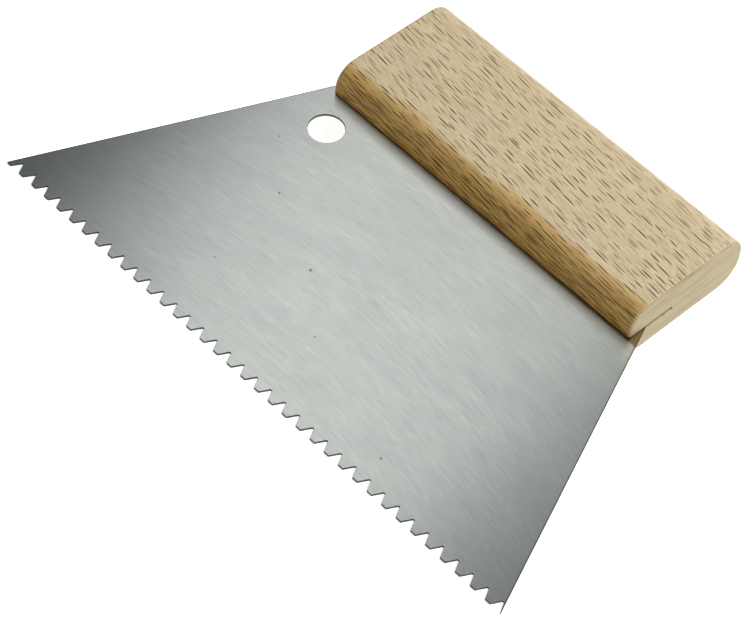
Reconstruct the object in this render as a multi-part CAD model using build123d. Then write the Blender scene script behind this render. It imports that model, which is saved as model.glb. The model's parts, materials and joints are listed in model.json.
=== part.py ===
from build123d import *
import math
import os

# Notched spreader: a V-notched steel blade held in the saw kerf of a one-piece beech handle.
#
# Everything is drawn in the blade's own axes, in millimetres: X runs along the teeth, Y runs
# from the tooth tips (Y = 0) towards the handle, and Z = 0 is the blade's upper face.
# lying() then puts each piece into the part's frame: the tool lies on a bench (Z = 0) on its
# tooth tips and on the rounded lower front edge of the handle, with X still along the teeth,
# and the origin on the bench under the middle of the whole tool.

# --- blade ---
BLADE_WIDTH = 180.0          # across the tooth tips
BLADE_THICKNESS = 0.7
SIDE_TAPER = 0.412           # how far each side comes in, per millimetre of Y
HOLE_RADIUS = 5.0
HOLE_X = -46.0
HOLE_Y = 71.0

# --- V notches ---
NOTCH_COUNT = 36
NOTCH_PITCH = 5.0
NOTCH_DEPTH = 2.7
NOTCH_MOUTH = 3.3            # width at the tooth tips
NOTCH_ROOT = 0.5             # width of the flat at the bottom of the notch
FIRST_NOTCH_X = -86.9        # the row of notches is not centred on the blade

# --- handle ---
HANDLE_LENGTH = 108.0
HANDLE_FRONT = 81.0          # Y of the front of the handle
HANDLE_DEPTH = 42.0
HANDLE_TOP = 9.1             # height over the blade's upper face
HANDLE_THICKNESS = 17.0
FRONT_RADIUS = 6.3
BACK_RADIUS = 7.4
END_EASING = 0.9             # rounding of the edges around both end faces

# --- saw kerf and tang ---
KERF_DEPTH = 16.0
TANG_END_GAP = 1.0           # between the end of the blade and the bottom of the kerf

# --- retaining nails, driven from below and hidden from above ---
NAIL_COUNT = 3
NAIL_SPACING = 34.0
NAIL_SETBACK = 10.0          # from the front of the handle
NAIL_RADIUS = 0.8
NAIL_HOLE_RADIUS = 0.9       # in the blade
NAIL_HEAD_RADIUS = 1.7
NAIL_HEAD_HEIGHT = 0.8
NAIL_ABOVE_BLADE = 5.0       # how far the point runs into the upper jaw
NAIL_POINT_LENGTH = 1.6
NAIL_TIP_RADIUS = 0.1

CUT_MARGIN = 1.0             # how far a cut runs on beyond the faces that it passes through

HANDLE_BOTTOM = HANDLE_TOP - HANDLE_THICKNESS
BLADE_BOTTOM = -BLADE_THICKNESS
BLADE_BACK = HANDLE_FRONT + KERF_DEPTH - TANG_END_GAP
NAIL_Y = HANDLE_FRONT + NAIL_SETBACK


def blade_half_width(y):
    return BLADE_WIDTH / 2 - SIDE_TAPER * y


def blade_outline():
    """The toothed trapezium, walked from the left tip along the teeth and back round the tang."""
    points = [(-BLADE_WIDTH / 2, 0)]
    for index in range(NOTCH_COUNT):
        x = FIRST_NOTCH_X + index * NOTCH_PITCH
        points.append((x - NOTCH_MOUTH / 2, 0))
        points.append((x - NOTCH_ROOT / 2, NOTCH_DEPTH))
        points.append((x + NOTCH_ROOT / 2, NOTCH_DEPTH))
        points.append((x + NOTCH_MOUTH / 2, 0))
    points.append((BLADE_WIDTH / 2, 0))
    points.append((blade_half_width(BLADE_BACK), BLADE_BACK))
    points.append((-blade_half_width(BLADE_BACK), BLADE_BACK))
    return make_face(Polyline(*points, close=True))


def nail_places():
    middle = (NAIL_COUNT - 1) / 2
    return [((index - middle) * NAIL_SPACING, NAIL_Y) for index in range(NAIL_COUNT)]


def upright_cylinder(radius, x, y, z_low, z_high):
    tool = Cylinder(radius, z_high - z_low, align=(Align.CENTER, Align.CENTER, Align.MIN))
    return Pos(x, y, z_low) * tool


def make_blade():
    blade = Pos(0, 0, BLADE_BOTTOM) * extrude(blade_outline(), BLADE_THICKNESS)
    blade -= upright_cylinder(HOLE_RADIUS, HOLE_X, HOLE_Y, BLADE_BOTTOM - CUT_MARGIN, CUT_MARGIN)
    for x, y in nail_places():
        blade -= upright_cylinder(NAIL_HOLE_RADIUS, x, y, BLADE_BOTTOM - CUT_MARGIN, CUT_MARGIN)
    return blade


def handle_block():
    """The moulded beech bar: a flat top and bottom, and four long rounded edges."""
    back = HANDLE_FRONT + HANDLE_DEPTH
    middle_y = (HANDLE_FRONT + back) / 2
    middle_z = (HANDLE_TOP + HANDLE_BOTTOM) / 2
    bar = Pos(0, middle_y, middle_z) * Box(HANDLE_LENGTH, HANDLE_DEPTH, HANDLE_THICKNESS)
    long_edges = bar.edges().filter_by(Axis.X)
    bar = fillet(long_edges.group_by(Axis.Y)[0], FRONT_RADIUS)
    long_edges = bar.edges().filter_by(Axis.X)
    bar = fillet(long_edges.group_by(Axis.Y)[-1], BACK_RADIUS)
    end_faces = bar.faces().sort_by(Axis.X)
    return fillet(end_faces[0].edges() + end_faces[-1].edges(), END_EASING)


def make_handle(nails):
    kerf_y = HANDLE_FRONT + KERF_DEPTH / 2
    kerf_length = HANDLE_LENGTH + 2 * CUT_MARGIN
    kerf = Pos(0, kerf_y, BLADE_BOTTOM / 2) * Box(kerf_length, KERF_DEPTH, BLADE_THICKNESS)
    handle = handle_block() - kerf
    for nail in nails:
        handle -= nail
    return handle


def make_nail(x, y):
    head = upright_cylinder(NAIL_HEAD_RADIUS, x, y, HANDLE_BOTTOM, HANDLE_BOTTOM + NAIL_HEAD_HEIGHT)
    point_z = NAIL_ABOVE_BLADE - NAIL_POINT_LENGTH
    shank = upright_cylinder(NAIL_RADIUS, x, y, HANDLE_BOTTOM, point_z)
    point = Pos(x, y, point_z) * Cone(
        NAIL_RADIUS, NAIL_TIP_RADIUS, NAIL_POINT_LENGTH, align=(Align.CENTER, Align.CENTER, Align.MIN)
    )
    return head + shank + point


def lying():
    """The move from the blade's axes to the bench: tooth tips and handle front edge touch Z = 0."""
    centre_y = HANDLE_FRONT + FRONT_RADIUS
    centre_z = HANDLE_BOTTOM + FRONT_RADIUS - BLADE_BOTTOM
    reach = math.hypot(centre_y, centre_z)
    tilt = math.degrees(math.asin(FRONT_RADIUS / reach) - math.atan2(centre_z, centre_y))
    return Rot(tilt, 0, 0) * Pos(0, 0, -BLADE_BOTTOM)


def to_bench_centre(pieces):
    """The move that puts the middle of the whole tool's footprint over the origin."""
    boxes = [piece.bounding_box() for piece in pieces]
    middle_x = (min(box.min.X for box in boxes) + max(box.max.X for box in boxes)) / 2
    middle_y = (min(box.min.Y for box in boxes) + max(box.max.Y for box in boxes)) / 2
    return Pos(-middle_x, -middle_y, 0)


def main():
    os.makedirs("parts", exist_ok=True)
    nails = [make_nail(x, y) for x, y in nail_places()]
    pieces = {"blade": make_blade(), "handle": make_handle(nails)}
    for index, nail in enumerate(nails):
        pieces[f"retaining_nail_{index + 1}"] = nail
    place = lying()
    place = to_bench_centre([place * piece for piece in pieces.values()]) * place
    for name, piece in pieces.items():
        export_step(place * piece, f"parts/{name}.step")


main()
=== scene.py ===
import json
import math

import bmesh
import bpy
from mathutils import Euler, Matrix, Vector


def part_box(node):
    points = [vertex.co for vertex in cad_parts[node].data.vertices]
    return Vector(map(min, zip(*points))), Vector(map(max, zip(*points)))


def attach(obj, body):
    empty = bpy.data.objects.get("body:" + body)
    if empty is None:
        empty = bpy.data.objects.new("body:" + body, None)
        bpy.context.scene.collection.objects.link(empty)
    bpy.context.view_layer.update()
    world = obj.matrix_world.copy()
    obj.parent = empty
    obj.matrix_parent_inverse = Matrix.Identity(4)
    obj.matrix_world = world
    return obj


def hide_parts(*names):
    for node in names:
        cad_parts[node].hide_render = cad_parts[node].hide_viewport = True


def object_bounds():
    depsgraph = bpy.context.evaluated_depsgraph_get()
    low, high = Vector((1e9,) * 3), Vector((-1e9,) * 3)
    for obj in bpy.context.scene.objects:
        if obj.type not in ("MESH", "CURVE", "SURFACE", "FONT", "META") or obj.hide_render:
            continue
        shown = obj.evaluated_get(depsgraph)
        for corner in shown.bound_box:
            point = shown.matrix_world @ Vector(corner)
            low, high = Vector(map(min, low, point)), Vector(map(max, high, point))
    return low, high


# Looks of the notched trowel: a brushed steel blade in a beech handle, on a light table.
# Each CAD node is replaced by a clean copy of itself with small worn edges.
# Lengths are in metres, as in the frame, and inside the materials in millimetres.

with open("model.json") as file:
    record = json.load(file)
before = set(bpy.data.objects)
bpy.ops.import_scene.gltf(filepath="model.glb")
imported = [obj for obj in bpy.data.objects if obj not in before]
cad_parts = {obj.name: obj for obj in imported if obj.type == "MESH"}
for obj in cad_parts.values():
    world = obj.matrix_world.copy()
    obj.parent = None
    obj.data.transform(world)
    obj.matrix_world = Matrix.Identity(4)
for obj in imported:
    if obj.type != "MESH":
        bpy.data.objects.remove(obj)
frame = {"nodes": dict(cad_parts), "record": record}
cad_low, cad_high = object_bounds()
record = frame["record"]

MM = 0.001

# --- meshes ---
SAME_PLACE = 0.002 * MM
FLAT_ANGLE = math.radians(0.5)
SHARP_ANGLE = math.radians(35)
BLADE_WEAR = 0.24 * MM           # width of the worn bevel on each sharp edge
HANDLE_WEAR = 0.20 * MM
NAIL_WEAR = 0.12 * MM

# --- camera: the viewing angle of the photograph ---
CAMERA_AZIMUTH = 37.93           # degrees
CAMERA_ELEVATION = 47.59
CAMERA_ROLL = 11.25              # counter-clockwise
CAMERA_DISTANCE = 0.7203
CAMERA_LENS = 138.94             # millimetres
SENSOR_WIDTH = 36.0
CLIP_START = 0.05
CLIP_END = 20.0
CAMERA_TARGET = Vector((6.0, -22.1, -5.7)) * MM     # from the middle of the tool's box

# --- light ---
WORLD_COLOUR = (0.90, 0.98, 1.0)
WORLD_STRENGTH = 0.085
FLOOR_SIZE = 8.0
FLOOR_DARK = (0.90, 0.90, 0.90)
FLOOR_PALE = (0.93, 0.93, 0.93)
FLOOR_ROUGHNESS = 0.9
FLOOR_GLOW = 0.70                # a light table, so that the shadow stays faint
KEY = {"azimuth": 145, "elevation": 52, "distance": 1.3, "width": 0.6, "height": 0.6, "watts": 19.5}
FRONT_FILL = {"azimuth": 20, "elevation": 15, "distance": 1.3, "width": 0.5, "height": 0.3, "watts": 4.7}
BLADE_CARD = {"azimuth": 241, "elevation": 61, "distance": 0.4, "width": 0.17, "height": 0.3, "watts": 0.24}

# In the materials, a pair named for a mark is its length and width in millimetres. A span is the
# two noise levels, or other values, between which something fades in, and a share is how much of
# it then shows.

# --- steel: brush marks in long arcs about a point in front of the teeth ---
BRUSH_CENTRE = Vector((8.0, -225.0, 0.0))
BRUSH_RADIUS = 260.0
HAIRLINE = (5.0, 0.30)
STROKE = (13.0, 1.0)
SCRATCH = (9.0, 0.34)
CLOUD = (24.0, 7.0)
HAIRLINE_TONE = 0.70             # weight against the strokes, in the tone and in the relief
HAIRLINE_RELIEF = 0.60
TONE_SPAN = (0.30, 0.70)
SCRATCH_SPAN = (0.68, 0.80)
SCRATCH_SHARE = 0.30
CLOUD_SPAN = (0.34, 0.66)
CLOUD_SHARE = 0.20
SPECK_SPACING = 19.0
SPECK_RADII = (0.013, 0.027)     # of the spacing
SPECK_CHANCE = 0.36
SPECK_SPAN = (0.6, 1.2)          # of the radius
SPECK_SHARE = 0.65
STEEL_ROUGHNESS = (0.35, 0.31)   # where the tone is dark, and where it is pale
CLOUD_ROUGHNESS = 0.012
SHEARED_ROUGHNESS = 0.2
STEEL_ANISOTROPY = 0.88
STEEL_BUMP = 0.06
STEEL_BUMP_DEPTH = 0.02 * MM

# --- steel: its sheared edges with painted shade, the painted shadow by the handle, painted shade on the left tip and a darker strip along the slanting sides, in millimetres from each place ---
# dark sheared edges, partly burr and partly painted shade, found by the slope of the surface
SHEARED_AND_SHADED_SPAN = (0.996, 0.93)     # cosines of the slope away from the flat face
# painted shadow of the handle on the blade, brown like the wood it reflects
HANDLE_SHADOW_SPAN = (0.9, 0.1)          # in front of the handle
HANDLE_SHADOW_SIDE = (0.0, 50.0)         # from the middle to the right
HANDLE_SHADOW_SHARE = 0.85
# painted shade on the blade's left tip
TIP_SHADE_SPAN = (-89.0, -56.0)       # from the left tip inwards
TIP_SHADE_SHARE = 0.32
RIM_SPAN = (0.50, 0.12)          # in from the slanting sides
RIM_SHARE = 0.70
STEEL_DARK = (0.494, 0.520, 0.494)
STEEL_PALE = (0.654, 0.680, 0.647)
STEEL_COOL = (0.470, 0.515, 0.500)
STEEL_SCRATCH = (0.780, 0.790, 0.760)
# the colour of the specks, and of the sheared edges, which is partly burr and partly painted shade
STEEL_SPECK_AND_EDGE_SHADE = (0.070, 0.066, 0.056)
# painted shadow of the handle, brown like the wood it reflects
STEEL_HANDLE_SHADOW = (0.260, 0.165, 0.050)
# painted shade on the left tip
STEEL_TIP_SHADE = (0.090, 0.112, 0.108)
STEEL_RIM = (0.150, 0.115, 0.070)

# --- beech: the long grain ---
GRAIN_SLANT = 6.5                # degrees
WANDER = (45.0, 12.0, 12.0)
WANDER_WIDTH = 1.6
BAND = (60.0, 4.0)
FIBRE = (5.0, 0.36)
THREAD = (7.0, 0.42)
BLUSH = (10.0, 1.6)
PORE = (0.9, 0.22)
PLANING_MARK = (0.38, 1.5)
BAND_SPAN = (0.34, 0.66)
FIBRE_SPAN = (0.34, 0.68)
FIBRE_SHARE = 0.78
PLANING_SPAN = (0.35, 0.65)
PLANING_SHARE = 0.26
BLUSH_SPAN = (0.56, 0.74)
BLUSH_SHARE = 0.30
PORE_SPAN = (0.55, 0.80)
PORE_SHARE = 0.12
THREAD_SPAN = (0.66, 0.78)
THREAD_SHARE = 0.16
BEECH_DARK = (0.380, 0.292, 0.172)
BEECH_PALE = (0.470, 0.373, 0.230)
BEECH_CREAM = (0.634, 0.528, 0.344)
BEECH_PINK = (0.480, 0.300, 0.175)

# --- beech: the ray flecks, at most one to a cell of that length and width ---
STRONG_FLECKS = {"length": 8.4, "width": 1.75, "half_width": 0.25, "chance": 0.90, "shift": (0.0, 0.0, 0.0)}
WEAK_FLECKS = {"length": 6.6, "width": 1.40, "half_width": 0.20, "chance": 0.68, "shift": (5.3, 2.1, 0.0)}
FRONT_FLECKS = {"length": 8.4, "width": 1.30, "half_width": 0.24, "chance": 0.80, "shift": (2.7, 8.4, 0.0)}
FLECK_SCATTER = 0.9
FLECK_REACH = (0.22, 0.48)       # half the length of the shortest and the longest, in cells
FLECK_STRENGTH = (0.0, 0.8)      # the cell's own random value, and how dark that makes its fleck
FLECK_DARKNESS = (0.55, 1.0)
FLECK_SPAN = (-0.10, 0.26)
HALO_SPAN = (-2.2, -0.4)
HALO_SHARE = 0.60
WEAK_FLECK_SHARE = 0.80
WEAK_HALO_SHARE = 0.5
BEECH_FLECK = (0.150, 0.072, 0.018)

# --- beech: the golden front rounding, partly its own tone and partly painted shade, with painted shade low down and a painted shadow along the joint, and the last five colours as multipliers ---
FRONT_SPAN = (-0.30, -0.90)      # Y of the surface's normal
LAYER = (9.0, 0.75)
LAYER_SPAN = (0.42, 0.62)
DRIFT = (32.0, 5.0)
RAGGED_BY_GRAIN = 0.60           # how far fibres, threads, bands and drift push the golden border
RAGGED_BY_BANDS = 0.30
RAGGED_BY_DRIFT = 0.50
RAGGED_MIDDLE = 1.00
# the golden front, by the surface's normal: partly the wood's own tone, partly painted shade
GOLD_AND_SHADE_SPAN = (0.18, 0.36)
AMBER_AND_SHADE_SPAN = (0.40, 1.00)
# darker flecks on the front, partly their own tone and partly painted shade
FRONT_FLECK_TONE_AND_SHADE_SHARE = 0.6
# painted shade low on the front, near the blade
LOW_SHADE_SPAN = (4.0, 0.5)          # millimetres from the blade's upper face
# painted shadow line along the joint with the blade
JOINT_SHADOW_SPAN = (1.1, 0.5)
# near-black brown: darker flecks on the front, partly painted shade, and painted shade in the kerf
BEECH_FLECK_AND_KERF_SHADE = (0.060, 0.028, 0.008)
# multipliers for the golden front, partly the wood's own tone and partly painted shade
BEECH_GOLD_AND_SHADE = (0.88, 0.72, 0.44)
BEECH_AMBER_AND_SHADE = (1.08, 1.00, 0.70)
# darker streaks on the front, partly grain and partly painted shade
BEECH_LAYER_AND_SHADE = (0.66, 0.60, 0.45)
# painted shade low on the front, near the blade
BEECH_LOW_SHADE = (0.80, 0.72, 0.45)
# painted shadow line along the joint with the blade
JOINT_SHADOW = (0.22, 0.19, 0.15)

# --- beech: the sawn ends ---
END_SPAN = (0.25, 0.65)          # size of X of the surface's normal
RING = (90.0, 14.0, 0.55)
RING_SPAN = (0.35, 0.65)
VESSEL = (3.0, 0.20, 0.20)
VESSEL_SPAN = (0.52, 0.75)
VESSEL_SHARE = 0.40
# painted shade in the kerf on the sawn ends
SLOT_SPAN = (0.75, 0.45)         # millimetres from the blade's upper face
SLOT_FADE = 1.5
END_GRAIN_DARK = (0.300, 0.236, 0.126)
END_GRAIN_PALE = (0.385, 0.317, 0.184)
END_GRAIN_VESSEL = (0.240, 0.165, 0.080)

# --- beech: its surface ---
SMOOTH_SPAN = (0.3, 0.7)         # of the fibres
BEECH_ROUGHNESS = (0.62, 0.50)
BEECH_SPECULAR = 0.35
FIBRE_RELIEF = 0.5
BEECH_BUMP = 0.35
BEECH_BUMP_DEPTH = 0.08 * MM

# --- nails ---
WIRE_MARK = (0.5, 0.5, 0.5)
WIRE_SPAN = (0.3, 0.7)
WIRE_DARK = (0.36, 0.36, 0.36)
WIRE_PALE = (0.56, 0.55, 0.53)
WIRE_ROUGHNESS = (0.30, 0.48)
WIRE_BUMP = 0.2
WIRE_BUMP_DEPTH = 0.05 * MM


# ---------------------------------------------------------------- places and directions

def mount(name):
    return next(m for m in record["mounts"] if m["name"] == name)


BLADE_NORMAL = Vector(mount("hang_hole")["axis"]).normalized()
BLADE_AHEAD = BLADE_NORMAL.cross(Vector((1, 0, 0)))
BLADE_TILT = math.atan2(-BLADE_NORMAL.y, BLADE_NORMAL.z)
BLADE_LOW, BLADE_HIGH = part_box("blade")
TOOTH_EDGE = Vector((0, BLADE_LOW.y, BLADE_LOW.z))


def corners(node):
    """A node's corners, in millimetres from the middle of the tooth edge."""
    return [(corner.co - TOOTH_EDGE) / MM for corner in frame["nodes"][node].data.vertices]


def nearest_and_farthest(node, axis):
    steps = [corner.dot(axis) for corner in corners(node)]
    return min(steps), max(steps)


BLADE_BACK = nearest_and_farthest("blade", BLADE_AHEAD)[1]
BLADE_TOP = nearest_and_farthest("blade", BLADE_NORMAL)[1]
HANDLE_FRONT, HANDLE_BACK = nearest_and_farthest("handle", BLADE_AHEAD)
HANDLE_UNDER, HANDLE_OVER = nearest_and_farthest("handle", BLADE_NORMAL)
HALF_DEPTH = (HANDLE_BACK - HANDLE_FRONT) / 2
HALF_HEIGHT = (HANDLE_OVER - HANDLE_UNDER) / 2
KERF_HEIGHT = BLADE_TOP - (HANDLE_OVER + HANDLE_UNDER) / 2      # from the middle of the handle
KERF_END = BLADE_BACK - HANDLE_FRONT - HALF_DEPTH
HANDLE_MIDDLE = TOOTH_EDGE + (
    BLADE_AHEAD * (HANDLE_FRONT + HALF_DEPTH) + BLADE_NORMAL * (HANDLE_UNDER + HALF_HEIGHT)
) * MM

CLOSE = 0.1                      # millimetres
TIP_HALF = BLADE_HIGH.x / MM
TANG_HALF = max(corner.x for corner in corners("blade") if corner.dot(BLADE_AHEAD) > BLADE_BACK - CLOSE)
SIDE_SLOPE = (TIP_HALF - TANG_HALF) / BLADE_BACK


def direction(azimuth, elevation):
    """The unit vector from the tool towards something seen at that azimuth and elevation."""
    a = math.radians(azimuth)
    e = math.radians(elevation)
    return Vector((math.sin(a) * math.cos(e), -math.cos(a) * math.cos(e), math.sin(e)))


# ---------------------------------------------------------------- shader helpers

class Shader:
    """A material's node tree with short calls for the nodes that the materials here share."""

    def __init__(self, name):
        self.material = bpy.data.materials.new(name)
        self.material.use_nodes = True
        self.tree = self.material.node_tree
        self.surface = self.tree.nodes["Principled BSDF"]

    def node(self, kind, settings=None, **inputs):
        made = self.tree.nodes.new(kind)
        for key, value in (settings or {}).items():
            setattr(made, key, value)
        for key, value in inputs.items():
            self.put(made, key, value)
        return made

    def put(self, made, key, value):
        socket = made.inputs[key]
        if isinstance(value, bpy.types.NodeSocket):
            self.tree.links.new(value, socket)
        else:
            socket.default_value = value

    def set(self, key, value):
        self.put(self.surface, key, value)

    def math(self, operation, *values):
        made = self.node("ShaderNodeMath", {"operation": operation})
        for index, value in enumerate(values):
            self.put(made, index, value)
        return made.outputs[0]

    def add(self, first, second):
        return self.math("ADD", first, second)

    def subtract(self, first, second):
        return self.math("SUBTRACT", first, second)

    def times(self, first, second):
        return self.math("MULTIPLY", first, second)

    def absolute(self, value):
        return self.math("ABSOLUTE", value)

    def maximum(self, first, second):
        return self.math("MAXIMUM", first, second)

    def vector_math(self, operation, *values, output=0):
        made = self.node("ShaderNodeVectorMath", {"operation": operation})
        for index, value in enumerate(values):
            self.put(made, index, value)
        return made.outputs[output]

    def split(self, vector):
        return self.node("ShaderNodeSeparateXYZ", Vector=vector).outputs

    def join(self, x, y):
        return self.node("ShaderNodeCombineXYZ", X=x, Y=y).outputs[0]

    def normal(self):
        return self.node("ShaderNodeNewGeometry").outputs["Normal"]

    def tool_axes(self, origin):
        """Millimetres along the teeth, towards the handle and off the blade, from origin."""
        turn = Euler((-BLADE_TILT, 0, 0))
        place = self.node("ShaderNodeTexCoord").outputs["Object"]
        mapping = self.node("ShaderNodeMapping", Vector=place)
        mapping.inputs["Location"].default_value = -(turn.to_matrix() @ origin) / MM
        mapping.inputs["Rotation"].default_value = turn
        mapping.inputs["Scale"].default_value = (1 / MM,) * 3
        return mapping.outputs[0]

    def cells(self, vector, size, shift=(0, 0, 0), turn=0.0):
        """The same place counted in cells of that size in millimetres, after a turn about the Z axis."""
        x, y, z = (*size, 1.0)[:3]
        turned = self.node("ShaderNodeMapping", Vector=vector)
        turned.inputs["Rotation"].default_value = (0, 0, math.radians(turn))
        counted = self.node("ShaderNodeMapping", Vector=turned.outputs[0])
        counted.inputs["Location"].default_value = shift
        counted.inputs["Scale"].default_value = (1 / x, 1 / y, 1 / z)
        return counted.outputs[0]

    def marks(self, vector, size, shift=(0, 0, 0), turn=0.0, detail=2.0, roughness=0.5, distortion=0.0):
        """Noise, from 0 to 1, drawn out into marks of that length and width."""
        made = self.node("ShaderNodeTexNoise", Vector=self.cells(vector, size, shift, turn))
        settings = {"Scale": 1.0, "Detail": detail, "Roughness": roughness, "Distortion": distortion}
        for key, value in settings.items():
            made.inputs[key].default_value = value
        return made.outputs["Fac"]

    def grain(self, unrolled, size, **settings):
        return self.marks(unrolled, size, turn=GRAIN_SLANT, **settings)

    def scattered(self, cells, scatter):
        """One point to each cell, moved about by scatter."""
        made = self.node("ShaderNodeTexVoronoi", {"voronoi_dimensions": "2D"}, Vector=cells)
        made.inputs["Scale"].default_value = 1.0
        made.inputs["Randomness"].default_value = scatter
        return made.outputs

    def ramp(self, value, span, to=(0.0, 1.0), smooth=True):
        """A value carried over from its span, and held at its ends, to another."""
        made = self.node("ShaderNodeMapRange", Value=value)
        made.interpolation_type = "SMOOTHSTEP" if smooth else "LINEAR"
        for key, number in zip(("From Min", "From Max", "To Min", "To Max"), (*span, *to)):
            made.inputs[key].default_value = number
        return made.outputs[0]

    def share(self, value, span, most):
        return self.ramp(value, span, (0.0, most))

    def mix(self, share, first, second, blend="MIX"):
        made = self.node("ShaderNodeMix", {"data_type": "RGBA", "blend_type": blend})
        colours = [(*c, 1.0) if isinstance(c, tuple) else c for c in (first, second)]
        for index, value in ((0, share), (6, colours[0]), (7, colours[1])):
            self.put(made, index, value)
        return made.outputs[2]

    def tint(self, share, colour, multiplier):
        return self.mix(share, colour, self.mix(1.0, colour, multiplier, blend="MULTIPLY"))

    def bump(self, height, strength, distance):
        return self.node("ShaderNodeBump", Height=height, Strength=strength, Distance=distance).outputs[0]


# ---------------------------------------------------------------- steel

def speck_darkness(s, place):
    specks = s.scattered(s.cells(place, (SPECK_SPACING, SPECK_SPACING)), 1.0)
    chance, size, _ = s.split(specks["Color"])
    radius = s.ramp(size, (0.0, 1.0), SPECK_RADII, smooth=False)
    speck = s.ramp(s.math("DIVIDE", specks["Distance"], radius), SPECK_SPAN, (SPECK_SHARE, 0.0))
    return s.times(speck, s.math("LESS_THAN", chance, SPECK_CHANCE))


def shaded_and_rimmed(s, place, colour):
    """The painted shadow by the handle's right corner, brown like the wood it reflects, painted shade on the
    left tip, and a darker strip along the slanting sides.
    """
    across, ahead, _ = s.split(place)
    # painted shadow along the handle's front on the right half, brown like the wood it reflects
    joint = s.share(ahead, tuple(HANDLE_FRONT - step for step in HANDLE_SHADOW_SPAN), HANDLE_SHADOW_SHARE)
    colour = s.mix(s.times(joint, s.ramp(across, HANDLE_SHADOW_SIDE)), colour, STEEL_HANDLE_SHADOW)
    # painted shade on the left tip
    colour = s.mix(s.ramp(across, TIP_SHADE_SPAN, (TIP_SHADE_SHARE, 0.0)), colour, STEEL_TIP_SHADE)
    half_width = s.subtract(TIP_HALF, s.times(ahead, SIDE_SLOPE))
    inward = s.subtract(half_width, s.absolute(across))
    return s.mix(s.share(inward, RIM_SPAN, RIM_SHARE), colour, STEEL_RIM)


def brushed_blade():
    """Spring steel, finely brushed in long arcs, with specks, cloudy patches and dark sheared edges, partly
    burr and partly painted shade.
    """
    s = Shader("brushed_spring_steel")
    place = s.tool_axes(TOOTH_EDGE)
    from_centre = s.vector_math("SUBTRACT", place, BRUSH_CENTRE)
    x, y, _ = s.split(from_centre)
    radius = s.math("SQRT", s.add(s.times(x, x), s.times(y, y)))
    along = s.times(s.math("ARCTAN2", x, y), BRUSH_RADIUS)
    arc = s.join(along, radius)

    hairlines = s.marks(arc, HAIRLINE, detail=3.0, roughness=0.65)
    strokes = s.marks(arc, STROKE, shift=(3, 7, 0))
    scratches = s.ramp(s.marks(arc, SCRATCH, shift=(9, 2, 0), detail=1.0), SCRATCH_SPAN)
    clouds = s.marks(arc, CLOUD, shift=(1, 4, 0), detail=5.0, roughness=0.65)

    tone = s.add(s.times(hairlines, HAIRLINE_TONE), s.times(strokes, 1 - HAIRLINE_TONE))
    tone = s.ramp(tone, TONE_SPAN, smooth=False)
    colour = s.mix(tone, STEEL_DARK, STEEL_PALE)
    colour = s.mix(s.share(clouds, CLOUD_SPAN, CLOUD_SHARE), colour, STEEL_COOL)
    colour = s.mix(s.times(scratches, SCRATCH_SHARE), colour, STEEL_SCRATCH)
    colour = s.mix(speck_darkness(s, place), colour, STEEL_SPECK_AND_EDGE_SHADE)
    colour = shaded_and_rimmed(s, place, colour)
    facing = s.absolute(s.vector_math("DOT_PRODUCT", s.normal(), BLADE_NORMAL, output="Value"))
    # the sheared edges: darker, partly burr and partly painted shade, and rougher
    sheared = s.ramp(facing, SHEARED_AND_SHADED_SPAN)
    s.set("Base Color", s.mix(sheared, colour, STEEL_SPECK_AND_EDGE_SHADE))

    s.set("Metallic", 1.0)
    roughness = s.ramp(tone, (0.0, 1.0), STEEL_ROUGHNESS, smooth=False)
    roughness = s.add(roughness, s.share(clouds, CLOUD_SPAN, CLOUD_ROUGHNESS))
    s.set("Roughness", s.add(roughness, s.times(sheared, SHEARED_ROUGHNESS)))
    s.set("Anisotropic", STEEL_ANISOTROPY)
    s.set("Tangent", s.vector_math("NORMALIZE", from_centre))
    relief = s.add(s.times(hairlines, HAIRLINE_RELIEF), s.times(strokes, 1 - HAIRLINE_RELIEF))
    s.set("Normal", s.bump(relief, STEEL_BUMP, STEEL_BUMP_DEPTH))
    return s.material


# ---------------------------------------------------------------- beech

def unroll(s, place):
    """The bar's long faces laid out flat, with a grain that wanders a little."""
    x, y, z = s.split(place)
    fold = s.math("SIGN", z)
    folded = s.times(s.subtract(1.0, fold), HALF_DEPTH)
    down = s.add(s.subtract(HALF_HEIGHT, z), folded)
    round_the_bar = s.add(s.times(fold, y), s.times(s.math("SIGN", y), down))
    wander = s.marks(place, WANDER, detail=1.0)
    wander = s.times(s.subtract(wander, 0.5), WANDER_WIDTH)
    return s.join(x, s.add(round_the_bar, wander))


def ray_flecks(s, unrolled, length, width, half_width, chance, shift):
    """Thin pointed flecks: how dark a point is, and how near it is to a fleck's side."""
    cells = s.cells(unrolled, (length, width), shift, GRAIN_SLANT)
    flecks = s.scattered(cells, FLECK_SCATTER)
    pick, size, strength = s.split(flecks["Color"])
    off_x, off_y, _ = s.split(s.vector_math("SUBTRACT", cells, flecks["Position"]))
    reach = s.ramp(size, (0.0, 1.0), FLECK_REACH, smooth=False)
    along = s.math("DIVIDE", s.absolute(off_x), reach)
    across = s.math("DIVIDE", s.absolute(off_y), half_width / width)
    inside = s.subtract(1.0, s.add(s.times(along, along), across))
    there = s.times(s.math("LESS_THAN", pick, chance), s.ramp(strength, FLECK_STRENGTH, FLECK_DARKNESS))
    return s.times(s.ramp(inside, FLECK_SPAN), there), s.times(s.ramp(inside, HALO_SPAN), there)


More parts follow.
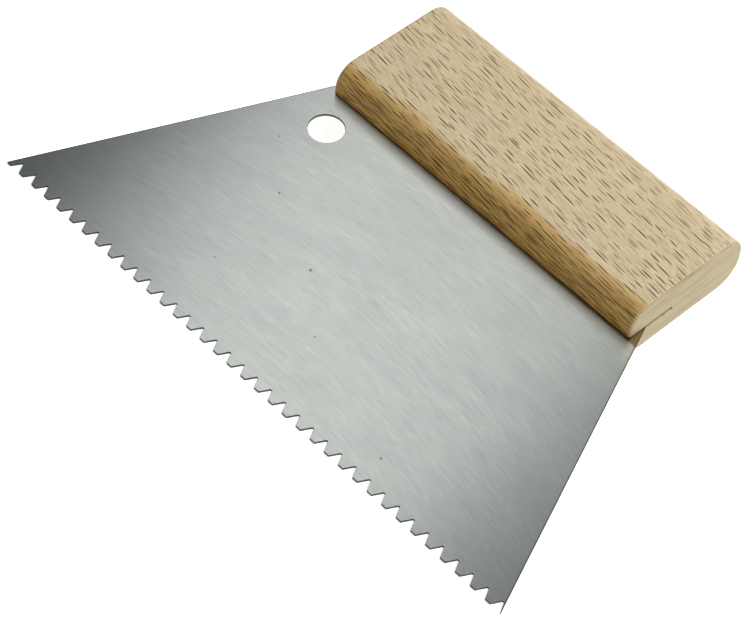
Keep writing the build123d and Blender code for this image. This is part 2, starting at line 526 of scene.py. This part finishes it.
def long_grain(s, unrolled, front):
    """The long faces: their colour, how dark the flecks make them, the fibres, and a ragged border."""
    bands = s.grain(unrolled, BAND)
    fibres = s.grain(unrolled, FIBRE, detail=3.0, roughness=0.65)
    threads = s.grain(unrolled, THREAD, shift=(2, 5, 0), detail=1.0)
    blush = s.grain(unrolled, BLUSH, shift=(4, 1, 2))
    pores = s.grain(unrolled, PORE, detail=1.0)
    planing = s.grain(unrolled, PLANING_MARK, shift=(6, 2, 0), detail=1.0)
    drift = s.grain(unrolled, DRIFT, shift=(8, 6, 0))

    strong, strong_halo = ray_flecks(s, unrolled, **STRONG_FLECKS)
    weak, weak_halo = ray_flecks(s, unrolled, **WEAK_FLECKS)
    on_front, _ = ray_flecks(s, unrolled, **FRONT_FLECKS)
    apart = s.subtract(1.0, strong_halo)
    dark = s.maximum(strong, s.times(s.times(weak, apart), WEAK_FLECK_SHARE))
    dark = s.maximum(dark, s.times(s.times(on_front, apart), front))
    halo = s.maximum(strong_halo, s.times(weak_halo, WEAK_HALO_SHARE))

    colour = s.mix(s.ramp(bands, BAND_SPAN), BEECH_DARK, BEECH_PALE)
    colour = s.mix(s.share(fibres, FIBRE_SPAN, FIBRE_SHARE), colour, BEECH_CREAM)
    colour = s.mix(s.share(planing, PLANING_SPAN, PLANING_SHARE), colour, BEECH_CREAM)
    colour = s.mix(s.share(blush, BLUSH_SPAN, BLUSH_SHARE), colour, BEECH_PINK)
    colour = s.mix(s.times(halo, HALO_SHARE), colour, BEECH_CREAM)
    colour = s.mix(s.share(pores, PORE_SPAN, PORE_SHARE), colour, BEECH_FLECK)
    colour = s.mix(s.share(threads, THREAD_SPAN, THREAD_SHARE), colour, BEECH_FLECK)
    colour = s.mix(dark, colour, BEECH_FLECK)

    ragged = s.add(s.times(fibres, RAGGED_BY_GRAIN), s.times(threads, RAGGED_BY_GRAIN))
    ragged = s.add(ragged, s.times(bands, RAGGED_BY_BANDS))
    ragged = s.add(ragged, s.times(drift, RAGGED_BY_DRIFT))
    return colour, dark, fibres, s.subtract(ragged, RAGGED_MIDDLE)


def golden_and_shaded_front(s, unrolled, colour, dark, front, golden, over_blade):
    """The front rounding: golden and darker in streaks, partly the wood's own tone and partly painted shade,
    with painted shade low down and a painted shadow line along the joint.
    """
    # golden and darker where the surface turns to the front: partly the wood's own tone, partly painted
    # shade
    colour = s.tint(s.ramp(golden, GOLD_AND_SHADE_SPAN), colour, BEECH_GOLD_AND_SHADE)
    colour = s.tint(s.ramp(golden, AMBER_AND_SHADE_SPAN), colour, BEECH_AMBER_AND_SHADE)
    layers = s.grain(unrolled, LAYER, shift=(7, 3, 0))
    # darker streaks on the front, partly grain and partly painted shade
    colour = s.tint(s.times(front, s.ramp(layers, LAYER_SPAN)), colour, BEECH_LAYER_AND_SHADE)
    # darker flecks on the front, partly their own tone and partly painted shade
    colour = s.mix(s.times(s.times(front, dark), FRONT_FLECK_TONE_AND_SHADE_SHARE), colour, BEECH_FLECK_AND_KERF_SHADE)
    # painted shade low on the front, near the blade
    colour = s.tint(s.times(s.ramp(over_blade, LOW_SHADE_SPAN), front), colour, BEECH_LOW_SHADE)
    # painted shadow line along the joint with the blade
    return s.tint(s.times(s.ramp(over_blade, JOINT_SHADOW_SPAN), front), colour, JOINT_SHADOW)


def end_grain(s, place, over_blade):
    """The sawn ends: faint rings and vessels, and painted shade in the kerf."""
    rings = s.marks(place, RING, detail=3.0, distortion=0.3)
    vessels = s.marks(place, VESSEL)
    colour = s.mix(s.ramp(rings, RING_SPAN), END_GRAIN_DARK, END_GRAIN_PALE)
    colour = s.mix(s.share(vessels, VESSEL_SPAN, VESSEL_SHARE), colour, END_GRAIN_VESSEL)
    _, y, _ = s.split(place)
    # painted shade in the kerf, at the blade's level
    slot = s.times(s.ramp(over_blade, SLOT_SPAN), s.ramp(y, (KERF_END + SLOT_FADE, KERF_END)))
    return s.mix(slot, colour, BEECH_FLECK_AND_KERF_SHADE)


def beech():
    """Sanded, unvarnished beech: pale long grain with dark ray flecks, and plain sawn ends."""
    s = Shader("raw_beech")
    place = s.tool_axes(HANDLE_MIDDLE)
    _, _, z = s.split(place)
    over_blade = s.absolute(s.subtract(z, KERF_HEIGHT))
    normal_x, normal_y, _ = s.split(s.normal())
    front = s.ramp(normal_y, FRONT_SPAN)

    unrolled = unroll(s, place)
    colour, dark, fibres, ragged = long_grain(s, unrolled, front)
    # the golden front's mask, from the surface's normal: partly the wood's own tone, partly painted shade
    golden = s.subtract(ragged, normal_y)
    colour = golden_and_shaded_front(s, unrolled, colour, dark, front, golden, over_blade)
    on_end = s.ramp(s.absolute(normal_x), END_SPAN)
    s.set("Base Color", s.mix(on_end, colour, end_grain(s, place, over_blade)))

    s.set("Roughness", s.ramp(fibres, SMOOTH_SPAN, BEECH_ROUGHNESS))
    s.set("Specular IOR Level", BEECH_SPECULAR)
    relief = s.subtract(s.times(fibres, FIBRE_RELIEF), dark)
    s.set("Normal", s.bump(relief, BEECH_BUMP, BEECH_BUMP_DEPTH))
    return s.material


# ---------------------------------------------------------------- nails and floor

def drawn_wire():
    """The nails' bright wire, faintly mottled by the heading die."""
    s = Shader("bright_nail_wire")
    mottle = s.marks(s.tool_axes(HANDLE_MIDDLE), WIRE_MARK, detail=3.0)
    s.set("Base Color", s.mix(s.ramp(mottle, WIRE_SPAN), WIRE_DARK, WIRE_PALE))
    s.set("Metallic", 1.0)
    s.set("Roughness", s.ramp(mottle, WIRE_SPAN, WIRE_ROUGHNESS))
    s.set("Normal", s.bump(mottle, WIRE_BUMP, WIRE_BUMP_DEPTH))
    return s.material


def studio_floor():
    s = Shader("pale_floor")
    place = s.node("ShaderNodeTexCoord").outputs["Object"]
    s.set("Base Color", s.mix(s.marks(place, (1.0, 1.0)), FLOOR_DARK, FLOOR_PALE))
    s.set("Roughness", FLOOR_ROUGHNESS)
    s.set("Emission Color", (1.0, 1.0, 1.0, 1.0))
    s.set("Emission Strength", FLOOR_GLOW)
    return s.material


# ---------------------------------------------------------------- pieces

def worn_copy(node, name, material, wear):
    """A clean copy of a CAD node: whole flat faces, smooth rounds, and a small worn bevel on sharp edges."""
    mesh = bpy.data.meshes.new(name)
    shape = bmesh.new()
    shape.from_mesh(frame["nodes"][node].data)
    bmesh.ops.remove_doubles(shape, verts=shape.verts, dist=SAME_PLACE)
    bmesh.ops.dissolve_limit(
        shape, angle_limit=FLAT_ANGLE, verts=shape.verts, edges=shape.edges, use_dissolve_boundaries=False
    )
    for face in shape.faces:
        face.smooth = True
    shape.to_mesh(mesh)
    shape.free()
    mesh.set_sharp_from_angle(angle=SHARP_ANGLE)
    mesh.materials.append(material)
    piece = bpy.data.objects.new(name, mesh)
    bpy.context.scene.collection.objects.link(piece)
    bevel = piece.modifiers.new("worn_edges", "BEVEL")
    bevel.width = wear
    bevel.segments = 2
    bevel.limit_method = "ANGLE"
    bevel.angle_limit = SHARP_ANGLE
    bevel.harden_normals = True
    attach(piece, "root")
    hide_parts(node)
    return piece


def dress_tool():
    worn_copy("blade", "toothed_blade", brushed_blade(), BLADE_WEAR)
    worn_copy("handle", "beech_grip", beech(), HANDLE_WEAR)
    wire = drawn_wire()
    nails = sorted(name for name in frame["nodes"] if name.startswith("retaining_nail"))
    for name in nails:
        worn_copy(name, name.replace("retaining", "driven"), wire, NAIL_WEAR)


# ---------------------------------------------------------------- studio

def middle():
    return (cad_low + cad_high) / 2


def floor():
    bpy.ops.mesh.primitive_plane_add(size=FLOOR_SIZE, location=(0, 0, 0))
    plane = bpy.context.object
    plane.name = "floor"
    plane.data.materials.append(studio_floor())


def softbox(name, azimuth, elevation, distance, width, height, watts):
    """A rectangular lamp that faces the middle of the tool, its width set along the teeth."""
    lamp = bpy.data.lights.new(name, "AREA")
    lamp.shape = "RECTANGLE"
    lamp.size = width
    lamp.size_y = height
    lamp.energy = watts
    box = bpy.data.objects.new(name, lamp)
    bpy.context.scene.collection.objects.link(box)
    towards = direction(azimuth, elevation)
    box.location = middle() + towards * distance
    across = (Vector((1, 0, 0)) - towards * towards.x).normalized()
    facing = Matrix((across, towards.cross(across), towards)).transposed()
    box.rotation_euler = facing.to_euler()


def lights():
    world = bpy.data.worlds.new("studio")
    world.use_nodes = True
    background = world.node_tree.nodes["Background"]
    background.inputs["Color"].default_value = (*WORLD_COLOUR, 1.0)
    background.inputs["Strength"].default_value = WORLD_STRENGTH
    bpy.context.scene.world = world
    softbox("key", **KEY)
    softbox("front_fill", **FRONT_FILL)
    softbox("blade_card", **BLADE_CARD)


def camera():
    lens = bpy.data.cameras.new("camera")
    lens.lens = CAMERA_LENS
    lens.sensor_width = SENSOR_WIDTH
    lens.clip_start = CLIP_START
    lens.clip_end = CLIP_END
    view = bpy.data.objects.new("camera", lens)
    bpy.context.scene.collection.objects.link(view)
    back = direction(CAMERA_AZIMUTH, CAMERA_ELEVATION)
    level = back.to_track_quat("Z", "Y").to_matrix().to_4x4()
    roll = Matrix.Rotation(math.radians(CAMERA_ROLL), 4, "Z")
    place = Matrix.Translation(middle() + CAMERA_TARGET + back * CAMERA_DISTANCE)
    view.matrix_world = place @ level @ roll
    bpy.context.scene.camera = view


dress_tool()
floor()
lights()
camera()
bpy.context.scene.view_settings.view_transform = "Standard"
